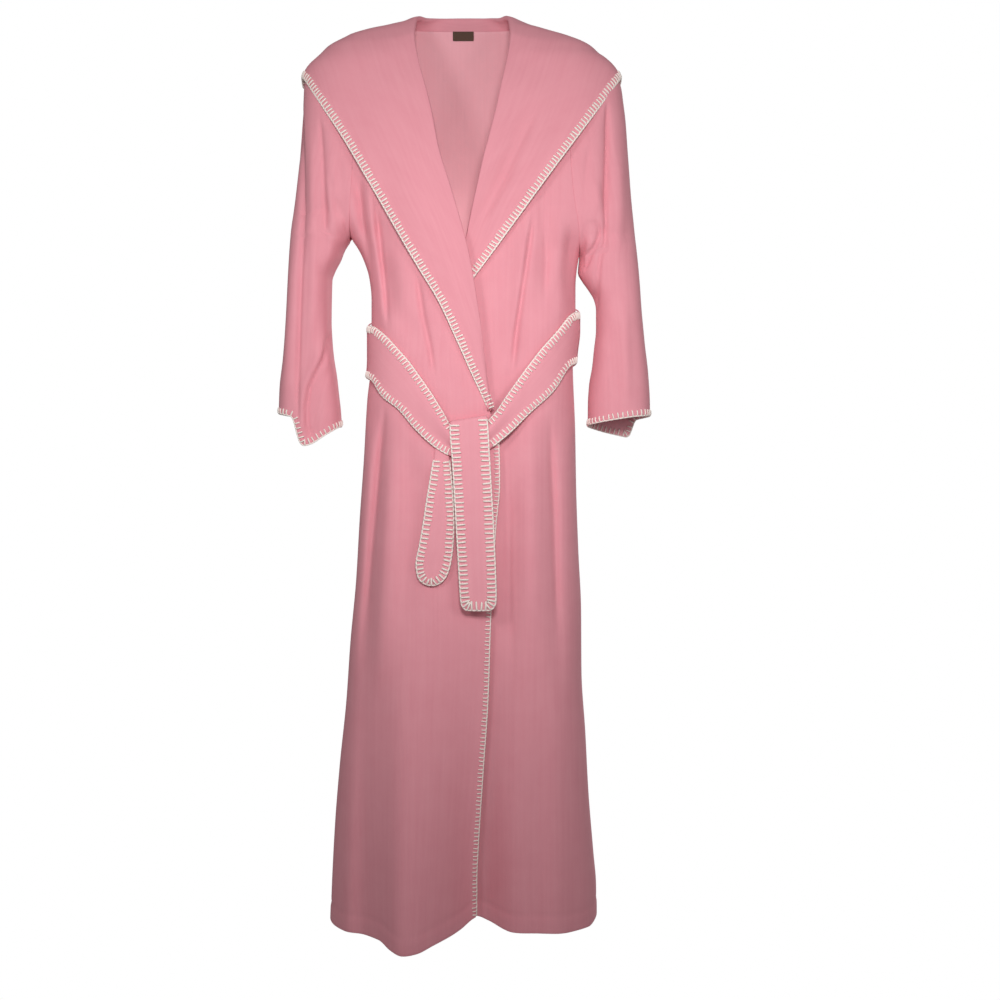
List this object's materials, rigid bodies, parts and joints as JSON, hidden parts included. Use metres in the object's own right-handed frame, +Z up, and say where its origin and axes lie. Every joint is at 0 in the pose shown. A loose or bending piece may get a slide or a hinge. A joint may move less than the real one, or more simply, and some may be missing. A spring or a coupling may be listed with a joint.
{
  "type": "bathrobe",
  "caption": "Full-length wrap bathrobe in brushed knit with a wide shawl collar, long sleeves, a tied fabric belt and hand-style blanket stitching along the edges.",
  "frame": {"origin": "seat at the centre of the back neck, where the arch of a hanger carries the robe", "axes": "+Z up, -Y out of the front of the robe, +X towards the wearer's left"},
  "size_m": [0.5365, 0.2541, 1.3144],
  "materials": {
    "robe_knit": "brushed knit, soft matt nap",
    "belt_knit": "brushed knit, soft matt nap, doubled",
    "edge_yarn": "twisted ivory yarn",
    "label_weave": "woven satin label, blank"
  },
  "bodies": {
    "torso": {"back_panel": "robe_knit", "back_yoke_right": "robe_knit", "back_yoke_centre": "robe_knit", "back_yoke_left": "robe_knit", "right_front_panel": "robe_knit", "left_front_panel": "robe_knit", "right_sleeve_head": "robe_knit", "left_sleeve_head": "robe_knit", "right_collar": "robe_knit", "left_collar": "robe_knit", "right_collar_stitch": "edge_yarn", "left_collar_stitch": "edge_yarn", "neck_label": "label_weave", "right_belt_loop": "robe_knit", "left_belt_loop": "robe_knit", "belt_back_run": "belt_knit", "belt_right_run": "belt_knit", "belt_left_run": "belt_knit", "belt_knot": "belt_knit", "belt_right_run_stitch_top": "edge_yarn", "belt_right_run_stitch_bottom": "edge_yarn", "belt_left_run_stitch_top": "edge_yarn", "belt_left_run_stitch_bottom": "edge_yarn", "belt_back_run_stitch_top": "edge_yarn", "belt_back_run_stitch_bottom": "edge_yarn", "front_edge_stitch_upper": "edge_yarn", "inner_edge_stitch": "edge_yarn"},
    "right_sleeve_body": {"right_sleeve": "robe_knit", "right_cuff_stitch": "edge_yarn"},
    "left_sleeve_body": {"left_sleeve": "robe_knit", "left_cuff_stitch": "edge_yarn"},
    "right_lapel_body": {"right_lapel": "robe_knit", "right_lapel_stitch": "edge_yarn"},
    "left_lapel_body": {"left_lapel": "robe_knit", "left_lapel_stitch": "edge_yarn"},
    "front_corner": {"right_front_flap": "robe_knit", "front_edge_stitch_lower": "edge_yarn"},
    "front_tail": {"belt_front_tail": "belt_knit", "belt_front_tail_stitch": "edge_yarn"},
    "back_tail": {"belt_back_tail": "belt_knit", "belt_back_tail_stitch": "edge_yarn"}
  },
  "joints": [
    {"name": "right_sleeve_swing", "type": "hinge", "parent": "torso", "child": "right_sleeve_body", "pos_m": [-0.214, 0, -0.35], "axis": [0, 1, 0], "range_deg": [0, 45]},
    {"name": "left_sleeve_swing", "type": "hinge", "parent": "torso", "child": "left_sleeve_body", "pos_m": [0.213, 0, -0.378], "axis": [0, -1, 0], "range_deg": [0, 45]},
    {"name": "right_lapel_lift", "type": "hinge", "parent": "torso", "child": "right_lapel_body", "pos_m": [0.005, -0.0825, -0.335], "axis": [-0.2122, 0.0579, 0.9755], "range_deg": [0, 50]},
    {"name": "left_lapel_lift", "type": "hinge", "parent": "torso", "child": "left_lapel_body", "pos_m": [0.0245, -0.0755, -0.217], "axis": [-0.2238, -0.0578, -0.9729], "range_deg": [0, 50]},
    {"name": "front_corner_open", "type": "hinge", "parent": "torso", "child": "front_corner", "pos_m": [-0.052, -0.1035, -0.87], "axis": [-0.0661, -0.1069, -0.9921], "range_deg": [0, 50]},
    {"name": "front_tail_lift", "type": "hinge", "parent": "torso", "child": "front_tail", "pos_m": [0.0105, -0.0935, -0.626], "axis": [-1, 0, 0], "range_deg": [0, 70]},
    {"name": "back_tail_lift", "type": "hinge", "parent": "torso", "child": "back_tail", "pos_m": [-0.031, -0.0885, -0.636], "axis": [-1, 0, 0], "range_deg": [0, 70]}
  ]
}
